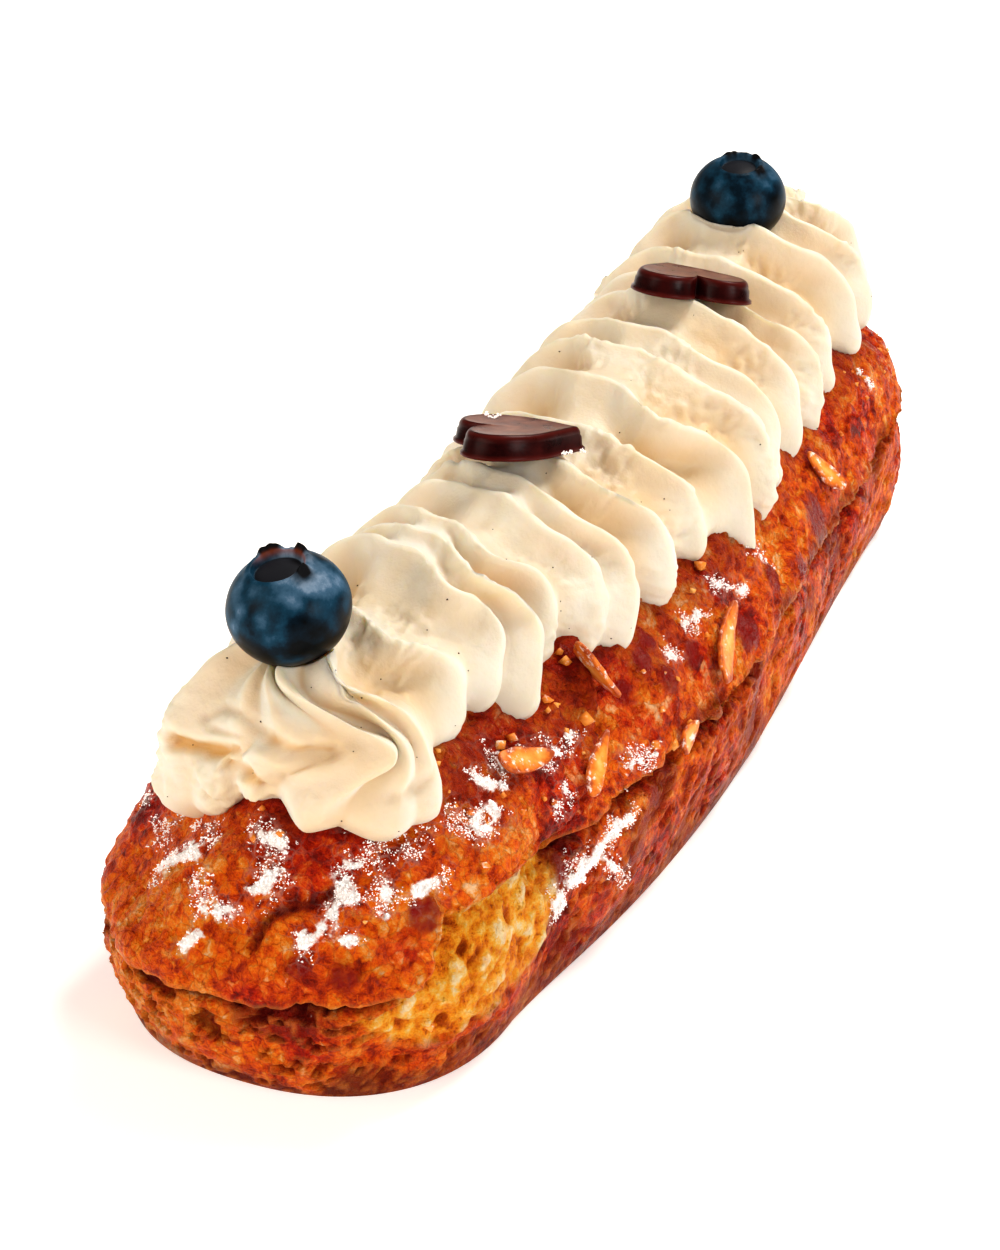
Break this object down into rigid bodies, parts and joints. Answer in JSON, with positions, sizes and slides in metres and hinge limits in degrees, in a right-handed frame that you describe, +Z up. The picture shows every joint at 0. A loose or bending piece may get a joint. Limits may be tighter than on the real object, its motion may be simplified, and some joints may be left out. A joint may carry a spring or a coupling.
{
  "type": "eclair",
  "caption": "Long choux eclair with a cracked brown crust and almond flakes, topped with ridged piped cream, blue berries and chocolate hearts.",
  "frame": {"origin": "under the middle of the whole eclair, on the surface that it rests on", "axes": "+X along the bun away from the end with the larger swirl of cream, +Y to the left seen from that end, +Z up"},
  "size_m": [0.1626, 0.0528, 0.0507],
  "materials": {
    "crust": "baked crust, satin with glossy brown blisters",
    "cream": "soft satin piped cream",
    "berry": "smooth skin with a waxy bloom",
    "chocolate": "moulded dark chocolate, satin gloss"
  },
  "bodies": {
    "root": {"pastry": "crust", "cream": "cream", "berry_near": "berry", "berry_far": "berry", "heart_near": "chocolate", "heart_far": "chocolate"}
  },
  "joints": []
}
